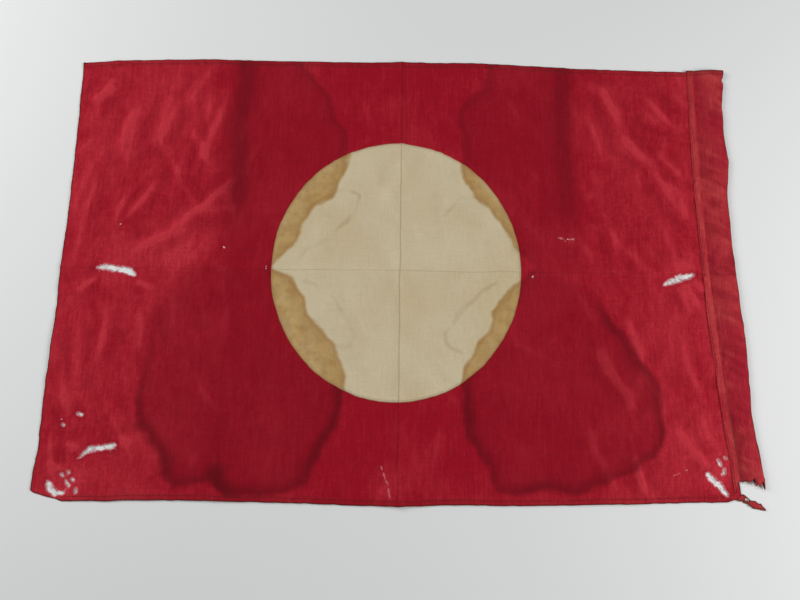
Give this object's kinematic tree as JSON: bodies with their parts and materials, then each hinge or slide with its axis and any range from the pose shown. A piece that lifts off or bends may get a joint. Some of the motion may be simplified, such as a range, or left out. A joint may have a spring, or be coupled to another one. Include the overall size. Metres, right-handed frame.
{
  "type": "flag",
  "caption": "Rectangular hemmed red cotton flag lying flat, with a plain cream disc sewn on each face and an open pole sleeve, old, torn and stained.",
  "frame": {"origin": "middle of the bounding box, on the surface the flag lies on", "axes": "+X from the fly end to the sleeve end, +Y up the flag, +Z out of the upper face"},
  "size_m": [0.928, 0.622, 0.0085],
  "materials": {
    "red_cotton": "matt plain weave, faded and stained",
    "sleeve_cotton": "matt plain weave, faded",
    "cream_cotton": "matt plain weave, yellowed and water-stained",
    "red_thread": "matt sewing thread",
    "disc_thread": "matt sewing thread"
  },
  "bodies": {
    "root": {"field_panel": "red_cotton", "hoist_sleeve": "sleeve_cotton", "torn_hem_end": "sleeve_cotton", "front_disc": "cream_cotton", "back_disc": "cream_cotton", "disc_needle_thread": "disc_thread", "disc_bobbin_thread": "disc_thread", "top_hem_needle_thread": "red_thread", "top_hem_bobbin_thread": "red_thread", "bottom_hem_needle_thread": "red_thread", "bottom_hem_bobbin_thread": "red_thread", "sleeve_seam_needle_thread": "red_thread", "sleeve_seam_bobbin_thread": "red_thread", "sleeve_end_needle_thread": "red_thread", "sleeve_end_bobbin_thread": "red_thread"}
  },
  "joints": []
}
